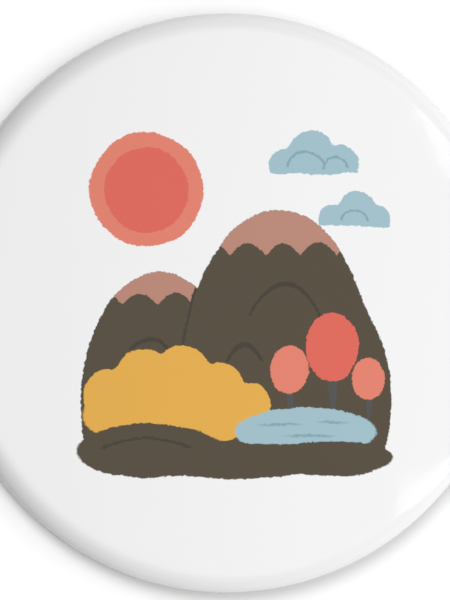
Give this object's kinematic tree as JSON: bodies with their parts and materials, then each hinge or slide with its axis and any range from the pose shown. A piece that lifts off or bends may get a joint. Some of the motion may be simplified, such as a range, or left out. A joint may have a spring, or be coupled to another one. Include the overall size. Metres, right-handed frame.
{
  "type": "pin-back button badge",
  "caption": "Round domed button badge: printed face under glossy clear film, crimped round a stamped metal back plate, with a spring wire pin held in a hook.",
  "frame": {"origin": "on the badge's axis, in the plane of the folded hem that it rests on when it lies on its back", "axes": "+Z out of the middle of the printed face, +Y to the top of the print, +X to the print's right as one reads it"},
  "size_m": [0.056, 0.056, 0.0062],
  "materials": {
    "clear_film": "clear polyester film, high gloss",
    "print_paper": "white printed paper, seen through the film",
    "shell_metal": "tinplate, satin",
    "plate_metal": "tinplate with a straight rolled grain",
    "spring_wire": "nickel-plated spring wire, bright"
  },
  "bodies": {
    "badge": {"clear_film": "clear_film", "print_paper": "print_paper", "front_shell": "shell_metal", "back_plate": "plate_metal", "pin_spring": "spring_wire"},
    "pin": {"pin_leg": "spring_wire"}
  },
  "joints": [
    {"name": "pin_open", "type": "hinge", "parent": "badge", "child": "pin", "pos_m": [-0.0165, -0.002, 0.0011], "axis": [0, 0.8, 0.6], "range_deg": [0, 35]}
  ]
}
